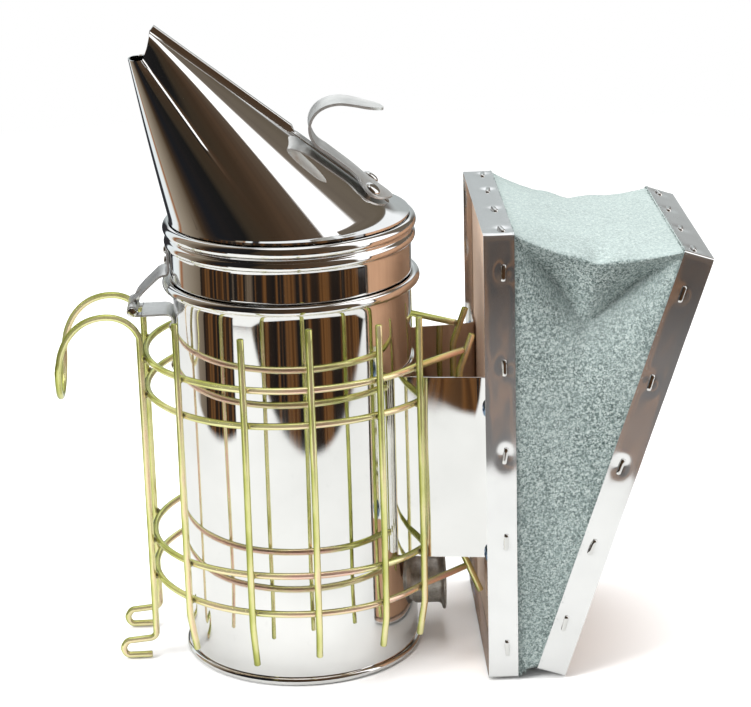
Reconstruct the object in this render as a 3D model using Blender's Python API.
# Bee smoker. Sheet-steel fire can with a hinged cone lid, a welded wire guard
# and leather bellows on a sheet bracket.
# Frame: origin at the centre of the can's underside, +Z up, +X from the can
# towards the bellows, the near side is -Y. Lengths are in millimetres and are
# scaled to metres when the meshes are made. "Front" on the bellows is the can side.
import bpy
import bmesh
import math
from mathutils import Vector, Matrix

for old in list(bpy.data.objects):
    bpy.data.objects.remove(old, do_unlink=True)

MM = 0.001

# ------------------------------------------------------------------ shared sizes
CAN_R = 50.0                      # outside of the can
CAN_T = 0.7                       # can sheet
INLET_Z = 26.0                    # air inlet, and the air hole facing it
PIN_X, PIN_Z = -67.0, 155.0       # lid hinge pin
HINGE_X, HINGE_Z = 93.4, 3.0      # bellows hinge line
OPEN_ANGLE = math.radians(18.5)   # how far the bellows stand open at rest
BRACKET_RIVETS_Z = (112.0, 68.0)
LID_LEAF_RIVETS_Z = (179.0, 174.4)
CAN_LEAF_RIVETS_Z = (145.0, 128.0)
BOLTS = [(45.5, 119.0), (-45.5, 119.0), (45.5, 55.0), (-45.5, 55.0)]   # y, z

BOARD_HALF = 52.0                 # half width of both boards
BAND_HALF = 54.0                  # half width of the bands round them
FRONT_X = (80.6, 89.1)            # front board
REAR_X = (3.6, 12.1)              # rear board, from the hinge line
REAR_Z0 = 3.6                     # its lower edge, above the hinge line
REAR_BAND_X = (3.2, 15.6)

# ------------------------------------------------------------------ finishes
STEEL = dict(color=(0.72, 0.71, 0.69), roughness=0.12, metallic=1.0)
SATIN = dict(color=(0.66, 0.66, 0.64), roughness=0.35, metallic=1.0)
TARNISH = dict(color=(0.36, 0.35, 0.33), roughness=0.55, metallic=1.0)
ZINC = dict(color=(0.72, 0.66, 0.36), roughness=0.30, metallic=1.0)
BLUE = dict(color=(0.30, 0.42, 0.58), roughness=0.30, metallic=1.0)
WOOD = dict(color=(0.62, 0.42, 0.31), roughness=0.70, metallic=0.0)
SUEDE = dict(color=(0.50, 0.58, 0.57), roughness=0.95, metallic=0.0)
HIDE = dict(color=(0.42, 0.30, 0.20), roughness=0.85, metallic=0.0)


def material(name, color, roughness, metallic):
    mat = bpy.data.materials.new(name)
    mat.use_nodes = True
    shader = mat.node_tree.nodes["Principled BSDF"]
    shader.inputs["Base Color"].default_value = (*color, 1)
    shader.inputs["Roughness"].default_value = roughness
    shader.inputs["Metallic"].default_value = metallic
    mat.diffuse_color = (*color, 1)
    return mat


# ------------------------------------------------------------------ objects
# A shape is (vertices, faces). A frame is (parent, origin): the origin is taken
# away from every point, so a moving piece can sit under an empty on its axis.
WORLD = (None, (0, 0, 0))


def add(name, shape, look=None, frame=WORLD):
    """Make one closed solid. Boolean tools have no look."""
    verts, faces = shape
    parent, origin = frame
    mesh = bpy.data.meshes.new(name)
    mesh.from_pydata([[(v[i] - origin[i]) * MM for i in range(3)] for v in verts], [], faces)
    bm = bmesh.new()
    bm.from_mesh(mesh)
    bmesh.ops.remove_doubles(bm, verts=bm.verts, dist=1e-6)
    bmesh.ops.recalc_face_normals(bm, faces=bm.faces)
    if bm.calc_volume(signed=True) < 0:
        bmesh.ops.reverse_faces(bm, faces=bm.faces)
    bm.to_mesh(mesh)
    bm.free()
    if look is not None:
        mesh.materials.append(material(name + "_finish", **look))
    obj = bpy.data.objects.new(name, mesh)
    bpy.context.collection.objects.link(obj)
    obj.parent = parent
    return obj


def add_empty(name, x, y, z, tilt=0.0, parent=None):
    """An axis for moving pieces, turned by tilt about Y."""
    axis = bpy.data.objects.new(name, None)
    axis.empty_display_size = 0.01
    axis.location = (x * MM, y * MM, z * MM)
    axis.rotation_euler = (0, tilt, 0)
    bpy.context.collection.objects.link(axis)
    axis.parent = parent
    return axis


def boolean(target, tool, operation):
    tool.hide_render = True
    tool.display_type = 'WIRE'
    mod = target.modifiers.new(operation.lower() + "_" + tool.name, 'BOOLEAN')
    mod.operation = operation
    mod.solver = 'EXACT'
    mod.object = tool


# ------------------------------------------------------------------ shape helpers
def mix(a, b, t):
    return a + (b - a) * t


def smooth01(t):
    t = max(0.0, min(1.0, t))
    return t * t * (3 - 2 * t)


def merge(*shapes):
    """Several shapes as one."""
    verts, faces = [], []
    for shape_verts, shape_faces in shapes:
        first = len(verts)
        verts += list(shape_verts)
        faces += [tuple(i + first for i in face) for face in shape_faces]
    return verts, faces


def moved(shape, x, y, z=0.0):
    return [(v[0] + x, v[1] + y, v[2] + z) for v in shape[0]], shape[1]


def along_x(shape, x, y, z):
    """Turn a shape's +Z to point along +X, then move it."""
    return [(x + v[2], y + v[1], z - v[0]) for v in shape[0]], shape[1]


def along_y(shape, x, y, z):
    """Turn a shape's +Z to point along +Y, then move it."""
    return [(x + v[0], y + v[2], z - v[1]) for v in shape[0]], shape[1]


def along_dir(shape, origin, direction):
    """Turn a shape's +Z to point along direction, then move it."""
    turn = Vector((0, 0, 1)).rotation_difference(Vector(direction).normalized())
    return [tuple(Vector(origin) + turn @ Vector(v)) for v in shape[0]], shape[1]


def lathe(profile, sides):
    """Turn a closed (r, z) outline about Z."""
    verts, faces, rings = [], [], []
    for r, z in profile:
        first = len(verts)
        if r < 1e-6:
            rings.append([first])
            verts.append((0.0, 0.0, z))
            continue
        rings.append(list(range(first, first + sides)))
        for i in range(sides):
            a = 2 * math.pi * i / sides
            verts.append((r * math.cos(a), r * math.sin(a), z))
    for ring, after in zip(rings, rings[1:] + rings[:1]):
        if len(ring) == 1 and len(after) == 1:
            continue
        for j in range(sides):
            k = (j + 1) % sides
            if len(ring) == 1:
                faces.append((ring[0], after[k], after[j]))
            elif len(after) == 1:
                faces.append((ring[j], ring[k], after[0]))
            else:
                faces.append((ring[j], ring[k], after[k], after[j]))
    return verts, faces


def cylinder(radius, z0, z1, sides):
    return lathe([(0, z0), (radius, z0), (radius, z1), (0, z1)], sides)


def drill_x(radius, x, length, sides, places):
    """Cylinders along +X that start at x, one for each (y, z) place."""
    return merge(*[along_x(cylinder(radius, 0, length, sides), x, y, z) for y, z in places])


def rivet(head_r, head_h, shank_r, length, tail_r, tail_h, sides=12):
    """Rivet along +Z: the head stands on 0, the shank and tail hang below."""
    end = -length - tail_h
    return lathe([(0, head_h), (head_r * 0.45, head_h * 0.92), (head_r * 0.82, head_h * 0.6),
                  (head_r, 0.0), (shank_r, 0.0), (shank_r, -length), (tail_r, -length),
                  (tail_r * 0.8, end), (0, end)], sides)


def prism(start, end, caps=None):
    """Solid between two equal outlines. caps splits an outline that isn't convex."""
    n = len(start)
    faces = []
    for cap in caps or [tuple(range(n))]:
        faces += [cap, tuple(i + n for i in reversed(cap))]
    faces += [(i, i + n, (i + 1) % n + n, (i + 1) % n) for i in range(n)]
    return list(start) + list(end), faces


def box(x0, x1, y0, y1, z0, z1):
    corners = [(y0, z0), (y1, z0), (y1, z1), (y0, z1)]
    return prism([(x0, y, z) for y, z in corners], [(x1, y, z) for y, z in corners])


def shell(outer, inner, closed=False):
    """Closed sheet between two grids of points. closed joins each row's ends."""
    rows, cols = len(outer), len(outer[0])
    verts = [p for grid in (outer, inner) for row in grid for p in row]
    k = rows * cols
    faces = []
    cells = cols if closed else cols - 1
    for i in range(rows - 1):
        for j in range(cells):
            m = (j + 1) % cols
            a, b = i * cols + j, i * cols + m
            c, d = b + cols, a + cols
            faces += [(a, b, c, d), (k + d, k + c, k + b, k + a)]
    if not closed:
        for i in range(rows - 1):
            a, d = i * cols, (i + 1) * cols
            faces.append((a, d, k + d, k + a))
        for i in range(rows - 1):
            a, d = (i + 1) * cols - 1, (i + 2) * cols - 1
            faces.append((d, a, k + a, k + d))
    last = (rows - 1) * cols
    for j in range(cells):
        m = (j + 1) % cols
        # the starting corner, which sets how a twisted rim quad is split
        p, q = (j, m) if closed else (m, j)
        faces.append((p, q, k + q, k + p))
        faces.append((last + q, last + p, k + last + p, k + last + q))
    return verts, faces


def path_normals(points):
    """Left-hand normal at each point of a flat path."""
    normals = []
    for i in range(len(points)):
        run = (points[min(i + 1, len(points) - 1)] - points[max(i - 1, 0)]).normalized()
        normals.append(Vector((-run.y, run.x)))
    return normals


def strip(stations, thickness, cells, y_mid=0.0):
    """Sheet that follows a path in the XZ plane, cells wide. A station is
    (x, z, half width, radius the sheet hugs in Y, or 0 for flat)."""
    points = [Vector(station[:2]) for station in stations]
    top, bottom = [], []
    for p, normal, (_, _, half, hug) in zip(points, path_normals(points), stations):
        top_row, bottom_row = [], []
        for j in range(cells + 1):
            y = y_mid - half + 2 * half * j / cells
            sag = 0.0
            if hug:
                sag = math.copysign(abs(hug) - math.sqrt(hug * hug - y * y), hug)
            above = p + normal * (thickness / 2 - sag)
            below = p + normal * (-thickness / 2 - sag)
            top_row.append((above.x, y, above.y))
            bottom_row.append((below.x, y, below.y))
        top.append(top_row)
        bottom.append(bottom_row)
    return shell(top, bottom)


def fillet(path, radii):
    """Round the inner corners of a path, one radius for each."""
    steps = 4
    points = [Vector(p) for p in path]
    out = [points[0]]
    for before, corner, after, radius in zip(points, points[1:], points[2:], radii):
        back = (before - corner).normalized()
        on = (after - corner).normalized()
        half = back.angle(on) / 2
        centre = corner + (back + on).normalized() * (radius / math.sin(half))
        tangent = radius / math.tan(half)
        spoke = corner + back * tangent - centre
        last_spoke = corner + on * tangent - centre
        sweep = spoke.angle(last_spoke)
        axis = spoke.cross(last_spoke).normalized()
        for k in range(steps + 1):
            out.append(centre + Matrix.Rotation(sweep * k / steps, 3, axis) @ spoke)
    out.append(points[-1])
    return out


def tube(path, radius, sides=8):
    """Round wire along a path, with flat ends."""
    points = [Vector(p) for p in path]
    count = len(points)
    tangents = [(points[min(i + 1, count - 1)] - points[max(i - 1, 0)]).normalized()
                for i in range(count)]
    first = tangents[0]
    up = Vector((0, 0, 1)) if abs(first.z) < 0.9 else Vector((1, 0, 0))
    u = (up - first * up.dot(first)).normalized()
    verts, faces = [], []
    for i, p in enumerate(points):
        tangent = tangents[i]
        if i:
            u = tangents[i - 1].rotation_difference(tangent) @ u
            u = (u - tangent * u.dot(tangent)).normalized()
        w = tangent.cross(u)
        # half of the mitre's growth eases the wire's thinning through a bend
        mitre = 1.0
        if 0 < i < count - 1:
            before = (p - points[i - 1]).normalized()
            after = (points[i + 1] - p).normalized()
            mitre = 1.0 / max(0.8, math.cos(before.angle(after) / 2))
        reach = radius * (1 + (mitre - 1) * 0.5)
        for k in range(sides):
            a = 2 * math.pi * (k + 0.5) / sides
            verts.append(tuple(p + (u * math.cos(a) + w * math.sin(a)) * reach))
    for i in range(count - 1):
        for k in range(sides):
            a = i * sides + k
            b = i * sides + (k + 1) % sides
            faces.append((a, b, b + sides, a + sides))
    faces.append(tuple(range(sides - 1, -1, -1)))
    faces.append(tuple((count - 1) * sides + k for k in range(sides)))
    return verts, faces


# ------------------------------------------------------------------ fire can
CAN_IN = CAN_R - CAN_T
CAN_FOOT_Z = 1.6
RIM_R, RIM_Z = 52.0, 165.5        # centre of the rolled top rim
RIM_ROLL = 2.2                    # radius of the roll
RIM_ANGLES = (150, 105, 65, 25, -15, -55, -95, -125)

# r, z outlines
BASE = [(0, 0), (50.6, 0), (51.4, 0.4), (51.8, 1.1), (51.8, 2.0), (51.5, 2.9),
        (50.9, 3.4), (50.35, 3.4), (50.35, 1.2), (0, 1.2)]
INLET_TUBE = [(10.8, 0), (11.5, 0), (11.5, 16.0), (14.5, 16.6), (14.6, 18.0),
              (11.2, 18.2), (10.8, 17.6)]
GRATE = [(0, 43.6), (20.0, 43.6), (47.6, 43.6), (47.6, 46.0), (46.9, 46.0),
         (46.9, 44.4), (20.0, 44.4), (0, 44.4)]
GRATE_LEG = [(32.6, 44.0), (32.6, 1.5), (37.0, 1.5), (37.0, 2.3), (33.4, 2.3), (33.4, 44.0)]
GRATE_LEG_HALF = 5
GRATE_HOLES = ((0, 1), (13.5, 6), (25.5, 10), (39.5, 14))   # circle radius, count
GRATE_HOLE_R = 3.2


def build_can(bracket_holes, leaf_holes):
    outline = [(CAN_IN, CAN_FOOT_Z), (CAN_IN, 160.0), (49.45, 163.0), (49.85, 165.2)]
    for degrees in RIM_ANGLES:
        a = math.radians(degrees)
        outline.append((RIM_R + RIM_ROLL * math.cos(a), RIM_Z + RIM_ROLL * math.sin(a)))
    outline += [(50.25, 162.6), (CAN_R, 160.0), (CAN_R, 4.0), (CAN_R, CAN_FOOT_Z)]
    can = add("can_body", lathe(outline, 48), STEEL)
    inlet_hole = add("cut_inlet", drill_x(11.9, 40, 20, 32, [(0, INLET_Z)]))
    for tool in (inlet_hole, bracket_holes, leaf_holes):
        boolean(can, tool, 'DIFFERENCE')

    # the disc in the bottom, with a bead that wraps the can's edge
    add("can_base", lathe(BASE, 48), STEEL)
    # open tube with a turned-out flange
    add("air_inlet_tube", along_x(lathe(INLET_TUBE, 24), 44.2, 0, INLET_Z), TARNISH)


def grate_leg(degrees):
    """L-shaped leg at an angle about Z."""
    c = math.cos(math.radians(degrees))
    s = math.sin(math.radians(degrees))
    sides = [[(r * c - y * s, r * s + y * c, z) for r, z in GRATE_LEG]
             for y in (-GRATE_LEG_HALF, GRATE_LEG_HALF)]
    return prism(*sides, caps=[(0, 1, 4, 5), (1, 2, 3, 4)])


def build_grate():
    """Perforated grate on three legs, above the inlet."""
    grate = add("fire_grate", lathe(GRATE, 36), TARNISH)
    holes = []
    for circle_r, count in GRATE_HOLES:
        for i in range(count):
            a = 2 * math.pi * i / count
            holes.append(moved(cylinder(GRATE_HOLE_R, 42, 46.5, 6),
                               circle_r * math.cos(a), circle_r * math.sin(a)))
    hole_tool = add("cut_grate", merge(*holes))
    leg_tool = add("join_grate_legs", merge(*[grate_leg(a) for a in (60, 180, 300)]))
    boolean(grate, leg_tool, 'UNION')
    boolean(grate, hole_tool, 'DIFFERENCE')


# ------------------------------------------------------------------ lid
# r, z outline of the collar: up the outside, down the inside
COLLAR = [(46.3, 163.0), (48.5, 167.0), (48.9, 168.1), (50.4, 168.2), (50.8, 168.7),
          (50.8, 175.6), (51.0, 176.0), (50.8, 176.4), (50.8, 181.2), (52.2, 182.4),
          (52.7, 183.6), (52.2, 185.0), (51.1, 186.3), (52.6, 187.9),
          (53.1, 189.4), (52.6, 191.1), (50.8, 192.2),
          (49.9, 191.9), (50.1, 182.0), (50.1, 169.3), (48.1, 168.8), (47.8, 167.2),
          (45.7, 163.3)]

HOOD_R = 50.4
HOOD_Z = 192.6
HOOD_T = 0.65
# Half of the keyhole mouth: angle, (x, y, z). Angle 0 is the +X ridge, at the
# top of the slot; 180 is the -X lip.
MOUTH = [(0.0, (-53.4, 0.0, 271.9)), (10.0, (-53.5, -2.0, 271.4)),
         (26.0, (-54.0, -4.2, 269.2)), (48.0, (-54.8, -5.2, 266.0)),
         (74.0, (-55.7, -5.4, 262.9)), (94.0, (-56.6, -5.7, 260.9)),
         (101.0, (-57.6, -6.6, 260.5)), (122.0, (-59.6, -7.0, 260.4)),
         (146.0, (-61.8, -5.2, 260.3)), (165.0, (-62.9, -2.6, 260.3)),
         (180.0, (-63.2, 0.0, 260.3))]
HALF_ANGLES = [0, 4, 10, 18, 26, 36, 48, 60, 74, 88, 94, 101, 111, 122, 134, 146, 156, 165,
               173, 180]
HOOD_ANGLES = HALF_ANGLES + [-a for a in HALF_ANGLES[-2:0:-1]]
HOOD_LEVELS = [0.0, 0.1, 0.25, 0.42, 0.6, 0.8, 1.0]   # collar to mouth


def mouth_at(degrees):
    side = 1.0 if degrees >= 0 else -1.0
    for (a0, p0), (a1, p1) in zip(MOUTH, MOUTH[1:]):
        if a0 <= abs(degrees) <= a1:
            x, y, z = [mix(p, q, (abs(degrees) - a0) / (a1 - a0)) for p, q in zip(p0, p1)]
            return Vector((x, y * side, z))


def hood_point(degrees, level):
    """degrees is 0 on the ridge (+X) and positive on the near side (-Y)."""
    a = math.radians(degrees)
    ridge_share = ((1 + math.cos(a)) / 2) ** 2
    r = HOOD_R - 6.0 * ridge_share
    foot = Vector((r * math.cos(a), -r * math.sin(a), HOOD_Z + 1.3 + 0.7 * ridge_share))
    return foot + (mouth_at(degrees) - foot) * level


def hood_normal(degrees, level, mid):
    """Unit normal of the hood's outside, pointing away from mid."""
    if degrees + 2 > 180:
        around = hood_point(-178, level) - hood_point(178, level)
    else:
        around = hood_point(degrees + 2, level) - hood_point(degrees - 2, level)
    rise = hood_point(degrees, min(level + 0.05, 1.0)) - hood_point(degrees, max(level - 0.05, 0))
    normal = around.cross(rise).normalized()
    if normal.dot(hood_point(degrees, level) - mid) < 0:
        normal = -normal
    if degrees in (0, 180):
        normal.y = 0
        normal.normalize()
    return normal


def hood_grid(inset):
    """Points of the hood's outside (inset 0) or inside, from the collar up."""
    rows = []
    lip_r = HOOD_R - inset
    # a short upright lip stands on the collar's top bead
    for rise in (0.0, 0.35 if inset else 0.9):
        rows.append([(lip_r * math.cos(math.radians(a)), -lip_r * math.sin(math.radians(a)),
                      HOOD_Z + rise) for a in HOOD_ANGLES])
    for level in HOOD_LEVELS:
        ring = [hood_point(a, level) for a in HOOD_ANGLES]
        mid = sum(ring, Vector()) / len(ring)
        row = []
        for a, p in zip(HOOD_ANGLES, ring):
            q = p - hood_normal(a, level, mid) * inset
            if inset and level == 0.0:
                q.z = max(q.z, HOOD_Z + 0.65)
            row.append(tuple(q))
        rows.append(row)
    return rows


# The hood's +X ridge as a line in XZ, from the collar up to the mouth
RIDGE_FOOT = hood_point(0, 0).xz
RIDGE_TOP = hood_point(0, 1).xz
RIDGE_RUN = (RIDGE_TOP - RIDGE_FOOT).normalized()
RIDGE_OUT = Vector((RIDGE_RUN.y, -RIDGE_RUN.x))
RIDGE_LEN = (RIDGE_TOP - RIDGE_FOOT).length
SEAM_NOTCH = 52.5     # where the flat part of the seam gives way to the standing part
SEAM_SUNK = -0.35     # the seam starts inside the hood sheet so that the two join


def ridge(s, height):
    """x, z at s up the ridge and height out from it."""
    return tuple(RIDGE_FOOT + RIDGE_RUN * s + RIDGE_OUT * height)


def seam(s0, s1, height, half):
    """Bar along the ridge."""
    ends = [ridge(s0, SEAM_SUNK), ridge(s1, SEAM_SUNK), ridge(s1, height), ridge(s0, height)]
    return prism([(x, -half, z) for x, z in ends], [(x, half, z) for x, z in ends])


# Hook handle: a strap with a leaf-shaped foot riveted over the seam
HANDLE_T = 1.2
HANDLE_LIFT = 2.45    # mid-sheet of the foot above the ridge
# distance up the ridge, half width, radius hugged (0 for flat)
HANDLE_FOOT = [(3.6, 1.2, 46), (4.6, 4.6, 46), (6.5, 8.6, 46), (9.5, 12.6, 46), (13.5, 14.6, 48),
               (17.5, 13.2, 55), (20.5, 10.6, 75), (23.0, 9.0, 120), (26.5, 8.5, 400),
               (32.0, 8.5, 0)]
# x, z, half width
HANDLE_HOOK = [(*ridge(37.5, 2.5), 8.6), (12.9, 222.5, 8.8), (10.9, 225.4, 8.9),
               (9.9, 228.7, 9.0), (10.1, 232.0, 9.0), (11.6, 235.2, 9.0), (14.3, 237.8, 9.0),
               (18.2, 239.5, 8.9), (22.8, 240.0, 8.7), (28.0, 239.2, 8.3), (33.0, 238.0, 7.4),
               (36.8, 237.2, 5.9), (39.2, 236.7, 3.9), (40.6, 236.4, 1.5)]
HANDLE_RIVET_S = 13.5     # up the ridge
HANDLE_RIVET_Y = 10.3
HANDLE_RIVET_HUG = 48.0   # radius the foot hugs there


def handle_rivet_site(side):
    """Point on the foot's top face, and the direction the rivet stands in."""
    y = HANDLE_RIVET_Y * side
    hug = HANDLE_RIVET_HUG
    sag = hug - math.sqrt(hug * hug - y * y)
    x, z = ridge(HANDLE_RIVET_S, HANDLE_LIFT - sag + HANDLE_T / 2)
    lean = math.cos(y / hug)
    out = Vector((RIDGE_OUT.x * lean, math.sin(y / hug), RIDGE_OUT.y * lean)).normalized()
    return Vector((x, y, z)), out


def build_lid(frame, leaf_holes):
    collar = add("lid_collar", lathe(COLLAR, 48), STEEL, frame)
    boolean(collar, leaf_holes, 'DIFFERENCE')

    # straight lines from a shoulder on the collar to a keyhole mouth
    hood = add("lid_hood", shell(hood_grid(0.0), hood_grid(HOOD_T), closed=True), STEEL, frame)
    # folded seam along the ridge: standing above the notch, flat below it
    standing = seam(SEAM_NOTCH, RIDGE_LEN - 0.15, height=2.3, half=1.4)
    boolean(hood, add("join_hood_seam", standing, frame=frame), 'UNION')
    flat = seam(4.5, SEAM_NOTCH + 0.8, height=0.9, half=3.0)
    boolean(hood, add("join_hood_seam_flat", flat, frame=frame), 'UNION')

    stations = [(*ridge(s, HANDLE_LIFT), half, -hug) for s, half, hug in HANDLE_FOOT]
    stations += [(x, z, half, 0) for x, z, half in HANDLE_HOOK]
    handle = add("hook_handle", strip(stations, HANDLE_T, 6), SATIN, frame)
    sites = [handle_rivet_site(side) for side in (-1, 1)]
    holes = merge(*[along_dir(cylinder(2.0, -12, 4, 12), p, out) for p, out in sites])
    hole_tool = add("cut_handle_rivets", holes, frame=frame)
    boolean(handle, hole_tool, 'DIFFERENCE')
    boolean(hood, hole_tool, 'DIFFERENCE')
    body = rivet(head_r=3.5, head_h=1.5, shank_r=1.7, length=5.2, tail_r=2.8, tail_h=0.9, sides=14)
    for i, (p, out) in enumerate(sites, 1):
        add(f"handle_rivet_{i}", along_dir(body, p + out * 0.12, out), SATIN, frame)


# ------------------------------------------------------------------ lid hinge
LEAF_T = 0.9
KNUCKLE_R = 1.95          # mid-sheet of the rolled knuckles
KNUCKLE_WRAP = 262        # degrees
MID_HALF = 4.0            # half width of the lid leaf's knuckle
OUTER_MID, OUTER_HALF = 7.0, 2.4    # the can leaf's two knuckles, in Y
LEAVE_ANGLE = 137         # where the lid leaf leaves its knuckle
SHELF_Z = PIN_Z - KNUCKLE_R

# lid leaf slope: distance from the knuckle, half width
LID_LEAF_SLOPE = [(2.2, 4.0), (3.9, 4.2), (5.4, 8.8), (10.0, 9.2)]
# x, z, half width, radius hugged
LID_LEAF_STRAP = [(-56.6, 168.3, 9.2, 0), (-54.4, 170.1, 9.2, 150), (-52.4, 170.6, 9.0, 60),
                  (-51.6, 171.9, 8.6, 51.6), (-51.6, 174.4, 8.2, 51.5),
                  (-51.6, 179.0, 7.4, 51.5), (-51.6, 181.0, 6.2, 51.5)]
CAN_LEAF = [(-63.4, SHELF_Z, 9.4, 0), (-58.0, SHELF_Z, 9.4, 0), (-54.2, SHELF_Z, 9.4, -260),
            (-52.4, PIN_Z - 2.3, 9.2, -110), (-51.3, PIN_Z - 3.2, 8.8, -64),
            (-50.9, PIN_Z - 4.9, 8.2, -50.9), (-50.9, 145.0, 7.0, -50.9),
            (-50.9, 128.0, 6.2, -50.9), (-50.9, 123.4, 5.4, -50.9)]
# r, z outline, head at each end
HINGE_PIN = [(0, -11.0), (1.9, -11.0), (2.0, -10.6), (2.0, -9.9), (1.2, -9.9),
             (1.2, 9.9), (2.0, 9.9), (2.0, 10.6), (1.9, 11.0), (0, 11.0)]


def knuckle(end, wrap, half):
    """Stations round the pin, finishing at the angle end after turning through -wrap."""
    stations = []
    for i in range(13):
        a = math.radians(end + wrap - wrap * i / 12)
        stations.append((PIN_X + KNUCKLE_R * math.cos(a), PIN_Z + KNUCKLE_R * math.sin(a),
                         half, 0))
    return stations


def build_lid_hinge(lid, lid_leaf_holes, can_leaf_holes):
    # lid leaf: knuckle in the middle, slope up to the collar, then a strap on it
    stations = knuckle(LEAVE_ANGLE, KNUCKLE_WRAP, MID_HALF)
    x0, z0 = stations[-1][:2]
    slope = math.radians(LEAVE_ANGLE - 90)
    stations += [(x0 + math.cos(slope) * s, z0 + math.sin(slope) * s, half, 0)
                 for s, half in LID_LEAF_SLOPE]
    stations += LID_LEAF_STRAP
    lid_leaf = add("hinge_leaf_lid", strip(stations, LEAF_T, 6), SATIN, lid)
    boolean(lid_leaf, lid_leaf_holes, 'DIFFERENCE')

    # can leaf: two knuckles, a short shelf, then a strap down the can
    can_leaf = add("hinge_leaf_can", strip(CAN_LEAF, LEAF_T, 6), SATIN)
    tongue = knuckle(-90, -KNUCKLE_WRAP, OUTER_HALF)
    tongue += [(x, SHELF_Z, OUTER_HALF, 0) for x in (-65.0, -62.9)]
    knuckles = merge(*[strip(tongue, LEAF_T, 2, y_mid=y) for y in (-OUTER_MID, OUTER_MID)])
    boolean(can_leaf, add("join_can_leaf_knuckles", knuckles), 'UNION')
    boolean(can_leaf, can_leaf_holes, 'DIFFERENCE')

    add("hinge_pin", along_y(lathe(HINGE_PIN, 16), PIN_X, 0, PIN_Z), SATIN)
    body = rivet(head_r=1.9, head_h=0.9, shank_r=1.1, length=2.9, tail_r=1.7, tail_h=0.6)
    for name, x, heights, frame in (("lid", -52.25, LID_LEAF_RIVETS_Z, lid),
                                    ("can", -51.55, CAN_LEAF_RIVETS_Z, WORLD)):
        for i, z in enumerate(heights, 1):
            add(f"{name}_leaf_rivet_{i}", along_dir(body, (x, 0, z), (-1, 0, 0)), SATIN, frame)


# ------------------------------------------------------------------ bracket
BRACKET_T = 0.8
SADDLE_R = 50.7           # mid-sheet of the part that hugs the can
BRACKET_LEVELS = [50.0, 90.0, 130.0]
# r, z outlines; the bolt's head is at the can end
BOLT = [(0, -2.9), (2.4, -2.6), (3.8, -1.1), (4.1, 0.0), (2.0, 0.0), (2.0, 13.8), (0, 14.2)]
NUT = [(2.45, 0), (4.0, 0), (4.0, 3.1), (2.45, 3.1)]


def bracket_plan():
    """The sheet's middle line seen from above, from the near side to the far side."""
    flange_x = FRONT_X[0] - 0.3 - BRACKET_T / 2
    wing_x = SADDLE_R * math.cos(math.radians(38))
    wing_y = -SADDLE_R * math.sin(math.radians(38))
    wing = [(flange_x, -51.0), (flange_x, -40.6), (flange_x - 0.35, -39.2),
            (flange_x - 1.6, -38.3), (58.0, wing_y - 4.0), (wing_x + 1.2, wing_y - 0.45)]
    saddle = [(SADDLE_R * math.cos(math.radians(a)), SADDLE_R * math.sin(math.radians(a)))
              for a in range(-36, 37, 6)]
    return wing + saddle + [(x, -y) for x, y in reversed(wing)]


def upright_sheet(plan, thickness, levels):
    points = [Vector(p) for p in plan]
    left, right = [], []
    for i, (p, normal) in enumerate(zip(points, path_normals(points))):
        mitre = 1.0
        if 0 < i < len(points) - 1:
            bend = (p - points[i - 1]).angle(points[i + 1] - p)
            mitre = 1.0 / max(0.75, math.cos(bend / 2))
        offset = normal * (thickness / 2 * mitre)
        left.append([(*(p + offset), z) for z in levels])
        right.append([(*(p - offset), z) for z in levels])
    return shell(left, right)


def build_bracket(rivet_holes, bolt_holes):
    sheet = upright_sheet(bracket_plan(), BRACKET_T, BRACKET_LEVELS)
    bracket = add("bellows_bracket", sheet, STEEL)
    boolean(bracket, rivet_holes, 'DIFFERENCE')
    boolean(bracket, bolt_holes, 'DIFFERENCE')
    body = rivet(head_r=3.2, head_h=1.3, shank_r=1.6, length=2.4, tail_r=2.8, tail_h=0.8)
    for i, z in enumerate(BRACKET_RIVETS_Z, 1):
        add(f"bracket_rivet_{i}", along_dir(body, (51.2, 0, z), (1, 0, 0)), SATIN)
    for i, (y, z) in enumerate(BOLTS, 1):
        add(f"bracket_bolt_{i}", along_x(lathe(BOLT, 12), 79.35, y, z), BLUE)
        add(f"bracket_nut_{i}", along_x(lathe(NUT, 6), 89.4, y, z), BLUE)


# ------------------------------------------------------------------ boards
BAND_T = 0.6
BAND_CORNER = 1.8         # outside corner radius
FRONT_BAND_Z = (1.1, 195.0)
REAR_BAND_Z = (2.6, 193.5)
STAPLES_Y = [-46.0, -14.0, 18.0, 46.0]
FRONT_STAPLES_Z = [179.0, 139.0, 101.0, 63.0, 15.0]
REAR_STAPLES_Z = [176.0, 137.0, 99.0, 62.0, 26.0]
# staple crown: along the strip, height; it starts inside the band so that the two join
CROWN = [(-3.3, -0.3), (3.3, -0.3), (3.3, 0.45), (2.8, 0.9), (-2.8, 0.9), (-3.3, 0.45)]
CROWN_HALF = 0.95


def band(band_x, band_z):
    """A strip bent round a board's edges."""
    z0, z1 = band_z
    y_c = BAND_HALF - BAND_CORNER
    corners = [(y_c, z0 + BAND_CORNER, -90), (y_c, z1 - BAND_CORNER, 0),
               (-y_c, z1 - BAND_CORNER, 90), (-y_c, z0 + BAND_CORNER, 180)]

    def outline(r):
        points = []
        for y, z, start in corners:
            for k in range(5):
                a = math.radians(start + 90 * k / 4)
                points.append((y + r * math.cos(a), z + r * math.sin(a)))
        return [[(x, y, z) for y, z in points] for x in band_x]

    return shell(outline(BAND_CORNER), outline(BAND_CORNER - BAND_T), closed=True)


def staple_crown(place, out, along):
    """Bar of a driven staple: it lies along the strip and stands a little proud."""
    place, out, along = Vector(place), Vector(out), Vector(along)
    across = out.cross(along) * CROWN_HALF
    outline = [place + along * s + out * height for s, height in CROWN]
    return prism([tuple(p - across) for p in outline], [tuple(p + across) for p in outline])


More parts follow.
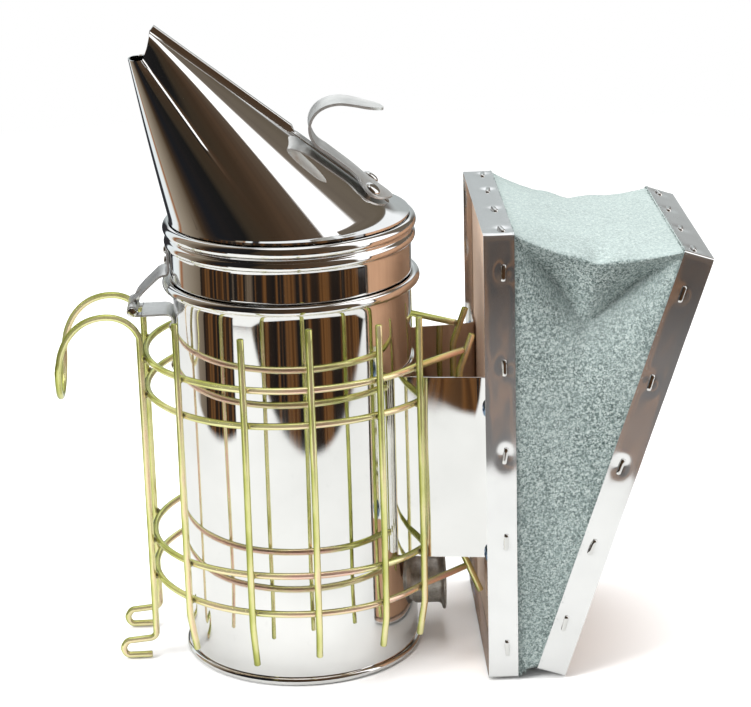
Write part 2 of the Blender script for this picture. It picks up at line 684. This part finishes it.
def staples(x, band_z, heights):
    """Crowns on a band's two sides, its top and, without the end ones, its bottom."""
    crowns = []
    for z in heights:
        for side in (-1, 1):
            crowns.append(staple_crown((x, side * BAND_HALF, z), (0, side, 0), (0, 0, 1)))
    for y in STAPLES_Y:
        crowns.append(staple_crown((x, y, band_z[1]), (0, 0, 1), (0, 1, 0)))
    for y in STAPLES_Y[1:-1]:
        crowns.append(staple_crown((x, y, band_z[0]), (0, 0, -1), (0, 1, 0)))
    return merge(*crowns)


def build_front_board(bolt_holes):
    front = add("front_board", box(*FRONT_X, -BOARD_HALF, BOARD_HALF, 2.1, 193.4), WOOD)
    boolean(front, bolt_holes, 'DIFFERENCE')
    air_hole = add("cut_air_hole", drill_x(10.0, 78, 14, 32, [(0, INLET_Z)]))
    boolean(front, air_hole, 'DIFFERENCE')
    trim = add("front_trim_band", band((77.0, 89.4), FRONT_BAND_Z), STEEL)
    crowns = add("join_front_staples", staples(84.9, FRONT_BAND_Z, FRONT_STAPLES_Z))
    boolean(trim, crowns, 'UNION')


def build_rear_board(frame):
    """Drawn closed about the hinge line; the frame's empty opens it."""
    rear = add("rear_board", box(*REAR_X, -BOARD_HALF, BOARD_HALF, REAR_Z0, 191.9), WOOD, frame)
    trim = add("rear_trim_band", band(REAR_BAND_X, REAR_BAND_Z), STEEL, frame)
    crowns = staples(8.0, REAR_BAND_Z, REAR_STAPLES_Z)
    boolean(trim, add("join_rear_staples", crowns, frame=frame), 'UNION')
    intake = add("cut_intake", drill_x(11.0, 1, 14, 32, [(0, 60.0)]), frame=frame)
    boolean(rear, intake, 'DIFFERENCE')
    return rear


# valve flap, y, z from its top edge
FLAP = [(-15, -0.4), (-15.5, -1.0), (-16.5, -30.0), (-14.5, -34.5), (-10, -36.5),
        (10, -36.5), (14.5, -34.5), (16.5, -30.0), (15.5, -1.0), (15, -0.4)]
FLAP_T = 1.2
TACKS = [(-11.0, 82.8), (11.0, 82.8)]     # y, z
# r, z outline, head first
TACK = [(0, -0.9), (1.4, -0.6), (2.2, -0.1), (0.8, -0.1), (0.8, 5.5), (0, 6.6)]


def build_valve(rear, frame):
    """Flap over the intake, on the rear board's can side, under a tacked strip."""
    axis = add_empty("valve_axis", 2.7, 0, 78.0, parent=frame[0])
    faces = [[(x, y, z) for y, z in FLAP] for x in (-FLAP_T / 2, FLAP_T / 2)]
    add("valve_flap", prism(*faces), HIDE, (axis, (0, 0, 0)))
    holder = add("valve_strip", box(2.0, 3.3, -15.5, 15.5, 79.2, 86.5), TARNISH, frame)
    holes = add("cut_valve_tacks", drill_x(1.1, 1.0, 8, 8, TACKS), frame=frame)
    boolean(holder, holes, 'DIFFERENCE')
    boolean(rear, holes, 'DIFFERENCE')
    for i, (y, z) in enumerate(TACKS, 1):
        add(f"valve_tack_{i}", along_x(lathe(TACK, 10), 1.85, y, z), TARNISH, frame)


# ------------------------------------------------------------------ leather and spring
# Pairs are the values at the front board and at the rear board
LEATHER_X = (-3.95, REAR_BAND_X[0])
LEATHER_BOTTOM = (-1.0, REAR_Z0)
LEATHER_TOP = (190.4, 191.8)
LEATHER_HALF = 52.2
LEATHER_T = 1.4
LEATHER_FOLDS = [0.0, 0.12, 0.26, 0.4, 0.5, 0.6, 0.74, 0.88, 1.0]           # front to rear
LEATHER_RISE = [0.0, 0.2, 0.4, 0.55, 0.68, 0.78, 0.88, 0.95, 1.0]           # bottom to top
SPRING_X = (-3.0, 2.3)
SPRING_Z = 113.0
SPRING_R = 13.0
SPRING_TURNS, SPRING_STEPS = 5, 16


def fold(u, x, y, height):
    """A point between the boards: u is how far round the hinge line it is,
    height its height above that line, x its offset across the closed gap."""
    a = u * OPEN_ANGLE
    return (HINGE_X + x * math.cos(a) + height * math.sin(a), y,
            HINGE_Z - x * math.sin(a) + height * math.cos(a))


def leather_ring(u, inset):
    """One loop round the bellows, drawn in most half-way between the boards."""
    bottom, top = mix(*LEATHER_BOTTOM, u), mix(*LEATHER_TOP, u)
    bow = math.sin(math.pi * u)
    side = []
    for t in LEATHER_RISE:
        waist = 11.0 * bow * smooth01((t - 0.5) / 0.35) * (1 - 0.55 * smooth01((t - 0.85) / 0.15))
        sink = 6.0 * bow * smooth01((t - 0.6) / 0.4)
        side.append((LEATHER_HALF - waist, mix(bottom, top, t) - sink))
    top_y, top_z = side[-1]
    across = [k / 8.0 for k in range(1, 8)]
    points = [(-y + inset, z) for y, z in side]                     # near side, going up
    points += [(mix(-top_y, top_y, f), top_z - 2.5 * bow * math.sin(math.pi * f) - inset)
               for f in across]
    points += [(y - inset, z) for y, z in reversed(side)]           # far side, going down
    points += [(mix(LEATHER_HALF, -LEATHER_HALF, f), bottom + inset) for f in across]
    # the limits keep the inner corners inside the outer ones
    return [fold(u, mix(*LEATHER_X, u), y, min(max(z, bottom + inset), top_z - inset))
            for y, z in points]


def build_leather():
    outer, inner = [[leather_ring(u, inset) for u in LEATHER_FOLDS] for inset in (0.0, LEATHER_T)]
    add("bellows_leather", shell(outer, inner, closed=True), SUEDE)


def build_spring():
    coil = []
    steps = SPRING_TURNS * SPRING_STEPS
    for k in range(steps + 1):
        u = k / steps
        a = 2 * math.pi * k / SPRING_STEPS
        coil.append(fold(u, mix(*SPRING_X, u), SPRING_R * math.sin(a),
                         SPRING_Z + SPRING_R * math.cos(a)))
    add("bellows_spring", tube(coil, 0.8, sides=6), TARNISH)


# ------------------------------------------------------------------ wire guard
WIRE_R = 1.5
RING_R = 63.0             # rings, wire centre
UPRIGHT_R = 66.3          # uprights, wire centre
# z, degrees from +X where the round part stops, (x, y) of the straight tails' ends
RINGS = [(136.0, 37.0, (67.4, 19.6)), (120.6, 35.4, None),
         (55.0, 35.4, None), (38.4, 37.0, (66.8, 19.6))]
# degrees from the Y axis towards +X, top z, bottom z
UPRIGHTS = [(-46.0, 160.5, 16.0), (-18.5, 158.2, 14.8), (5.5, 162.2, 18.8),
            (31.3, 160.2, 18.6), (50.6, 158.4, 17.0)]
STAY_Y = 19.0
STAY = [(74.6, 143.0), (68.9, 127.0), (68.9, 45.0), (76.6, 26.5)]     # x, z

HOOK_HALF = 16.5          # half the spacing of the hook wire's legs
HOOK_X = -math.sqrt(UPRIGHT_R ** 2 - HOOK_HALF ** 2)
# x, z of a leg from its foot up, then of the curve over to the loop
HOOK_LEG = [(-66.4, 1.7), (-77.6, 1.7), (-79.0, 5.2), (-77.0, 8.4), (HOOK_X, 9.6),
            (HOOK_X, 146.0)]
HOOK_LEG_BENDS = [2.6, 2.6, 2.6, 3.0]
HOOK_CURVE = [(-66.2, 149.6), (-69.6, 152.8), (-74.4, 154.8), (-80.2, 155.0), (-86.0, 153.4),
              (-90.8, 150.2), (-94.6, 145.6), (-97.2, 140.0), (-98.6, 134.0)]


def ring_path(z, end_degrees, tail):
    """Ring open towards +X, with straight tails if asked."""
    path = []
    for i in range(41):
        a = math.radians(-end_degrees - (360 - 2 * end_degrees) * i / 40)
        path.append((RING_R * math.cos(a), RING_R * math.sin(a), z))
    if tail:
        tail_x, tail_y = tail
        end_x = RING_R * math.cos(math.radians(end_degrees))
        end_y = RING_R * math.sin(math.radians(end_degrees))
        mid_x, mid_y = (tail_x + end_x) / 2, (tail_y + end_y) / 2
        path = ([(tail_x, -tail_y, z), (mid_x, -mid_y, z)] + path
                + [(mid_x, mid_y, z), (tail_x, tail_y, z)])
    return path


def upright_path(side, degrees, top, bottom):
    """Straight down, then bent slightly inwards at the foot."""
    a = math.radians(degrees)
    bends = ((UPRIGHT_R, top), (UPRIGHT_R, 33.0), (UPRIGHT_R - 3.0, bottom))
    return fillet([(r * math.sin(a), side * r * math.cos(a), z) for r, z in bends], [25])


def hook_side(side):
    """Half of the hook wire, from the end of a foot up to the start of the loop."""
    y = HOOK_HALF * side
    leg = fillet([(x, y, z) for x, z in HOOK_LEG], HOOK_LEG_BENDS)
    return leg + [(x, y, z) for x, z in HOOK_CURVE]


def build_guard():
    for i, ring in enumerate(RINGS, 1):
        add(f"guard_ring_{i}", tube(ring_path(*ring), WIRE_R), ZINC)
    uprights = [(side, *row) for side in (-1, 1) for row in UPRIGHTS]
    for i, upright in enumerate(uprights, 1):
        add(f"guard_upright_{i:02d}", tube(upright_path(*upright), WIRE_R), ZINC)
    for i, side in enumerate((-1, 1), 1):
        stay = fillet([(x, side * STAY_Y, z) for x, z in STAY], [8, 8])
        add(f"guard_stay_{i}", tube(stay, WIRE_R), ZINC)

    loop = []
    for i in range(1, 12):
        a = math.pi * i / 12
        loop.append((-98.9 - 0.6 * math.sin(a), -HOOK_HALF * math.cos(a),
                     133.2 - HOOK_HALF * math.sin(a)))
    add("guard_hook", tube(hook_side(-1) + loop + hook_side(1)[::-1], WIRE_R), ZINC)


# ------------------------------------------------------------------ assembly
def leaf_rivet_holes(name, heights):
    return add(name, drill_x(1.4, -56, 12, 10, [(0, z) for z in heights]))


def build_smoker():
    # holes shared by pieces that are fastened together
    bracket_holes = add("cut_bracket_rivets",
                        drill_x(1.9, 44, 12, 12, [(0, z) for z in BRACKET_RIVETS_Z]))
    bolt_holes = add("cut_bolts", drill_x(2.35, 76, 16, 16, BOLTS))
    can_leaf_holes = leaf_rivet_holes("cut_can_leaf_rivets", CAN_LEAF_RIVETS_Z)
    lid_leaf_holes = leaf_rivet_holes("cut_lid_leaf_rivets", LID_LEAF_RIVETS_Z)

    build_can(bracket_holes, can_leaf_holes)
    build_grate()
    lid = (add_empty("lid_axis", PIN_X, 0, PIN_Z), (PIN_X, 0, PIN_Z))
    build_lid(lid, lid_leaf_holes)
    build_lid_hinge(lid, lid_leaf_holes, can_leaf_holes)
    build_bracket(bracket_holes, bolt_holes)
    build_front_board(bolt_holes)
    bellows = (add_empty("bellows_axis", HINGE_X, 0, HINGE_Z, tilt=OPEN_ANGLE), (0, 0, 0))
    build_valve(build_rear_board(bellows), bellows)
    build_leather()
    build_spring()
    build_guard()


build_smoker()
